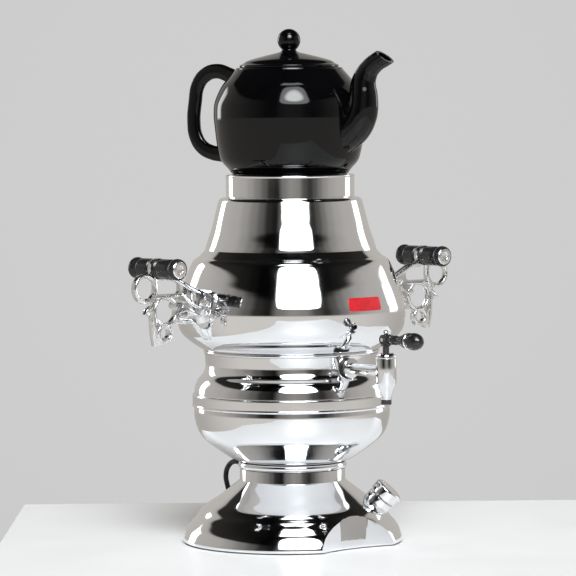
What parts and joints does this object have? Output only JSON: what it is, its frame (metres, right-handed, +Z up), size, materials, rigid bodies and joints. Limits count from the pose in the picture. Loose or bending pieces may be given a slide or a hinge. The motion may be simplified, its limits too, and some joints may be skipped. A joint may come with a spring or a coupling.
{
  "type": "electric samovar",
  "caption": "Chrome electric samovar: bulged tank on a flared foot, lever tap, openwork side handles with black grips, thermostat knob, mains cord and a black porcelain teapot on its crown.",
  "frame": {"origin": "the tank's axis at table height, under the rubber feet", "axes": "+Z up along the tank's axis, -Y towards the tap, +X towards the right handle as seen from the tap"},
  "size_m": [0.438, 0.4309, 0.5493],
  "materials": {
    "chrome_shell": "mirror polish",
    "chrome_fittings": "mirror polish",
    "chrome_cast": "polished casting",
    "steel": "satin",
    "brass": "satin",
    "black_handles": "gloss",
    "black_fittings": "satin",
    "black_porcelain": "high gloss glaze",
    "red_plate": "gloss",
    "rubber": "matte",
    "base_sheet": "satin",
    "pale_insulator": "matte",
    "blue_insulation": "satin",
    "black_plug": "satin"
  },
  "bodies": {
    "base": {"foot_shell": "chrome_shell", "base_plate": "base_sheet", "rubber_feet": "rubber", "base_screws": "steel", "neck_bead": "chrome_shell", "lower_bowl": "chrome_shell", "band_ring": "chrome_shell", "tie_rod": "steel", "tie_nut": "steel", "tank_waist": "chrome_shell", "tank_floor": "steel", "seam_bead": "chrome_shell", "tank_upper": "chrome_shell", "name_plate": "red_plate", "heater": "steel", "heater_bushes": "brass", "heater_nuts": "brass", "thermostat": "steel", "thermostat_bulb": "brass", "safety_cutout": "pale_insulator", "terminal_block": "pale_insulator", "wiring": "blue_insulation", "knob_bezel": "chrome_fittings", "tap_pipe": "chrome_fittings", "tap_gaskets": "rubber", "tap_lock_nut": "brass", "tap_body": "chrome_fittings", "nozzle_tip": "black_fittings", "tap_bonnet": "chrome_fittings", "tap_collar": "black_fittings", "bracket_left": "chrome_cast", "bracket_right": "chrome_cast", "grips_left": "black_handles", "grips_right": "black_handles", "rod_left": "steel", "rod_right": "steel", "caps_left": "chrome_fittings", "caps_right": "chrome_fittings", "bracket_screws": "steel", "bracket_nuts": "steel", "strain_relief": "rubber", "mains_cord": "rubber", "cord_coil": "rubber", "cord_tie": "black_plug", "mains_plug": "black_plug", "tap_spring": "steel"},
    "crown": {"crown_ring": "chrome_shell"},
    "teapot": {"teapot_body": "black_porcelain"},
    "lid": {"teapot_lid": "black_porcelain"},
    "stem": {"tap_stem": "black_fittings", "tap_seal": "rubber", "stem_ball": "chrome_fittings", "tap_pin": "chrome_fittings"},
    "lever": {"tap_lever": "black_handles", "lever_ring": "chrome_fittings", "lever_knob": "black_handles"},
    "knob": {"knob": "chrome_fittings", "knob_shaft": "steel"}
  },
  "joints": [
    {"name": "crown_lift", "type": "slide", "parent": "base", "child": "crown", "axis": [0, 0, 1], "range_m": [0, 0.06]},
    {"name": "teapot_lift", "type": "slide", "parent": "crown", "child": "teapot", "axis": [0, 0, 1], "range_m": [0, 0.08]},
    {"name": "lid_lift", "type": "slide", "parent": "teapot", "child": "lid", "axis": [0, 0, 1], "range_m": [0, 0.06]},
    {"name": "stem_lift", "type": "slide", "parent": "base", "child": "stem", "axis": [0, 0, 1], "range_m": [0, 0.0024], "deforming": ["tap_spring"]},
    {"name": "lever_tilt", "type": "hinge", "parent": "stem", "child": "lever", "pos_m": [0, -0.1526, 0.2245], "axis": [1, 0, 0], "range_deg": [0, 25], "stiffness_Nm_per_rad": 0.1, "springref_deg": -20.05},
    {"name": "thermostat_turn", "type": "hinge", "parent": "base", "child": "knob", "pos_m": [0.0597, -0.06868, 0.04171], "axis": [0.4474, -0.5147, 0.7314], "range_deg": [0, 270]}
  ],
  "couplings": [
    {"joint": "stem_lift", "follows": "lever_tilt", "m_per_rad": 0.0054}
  ]
}
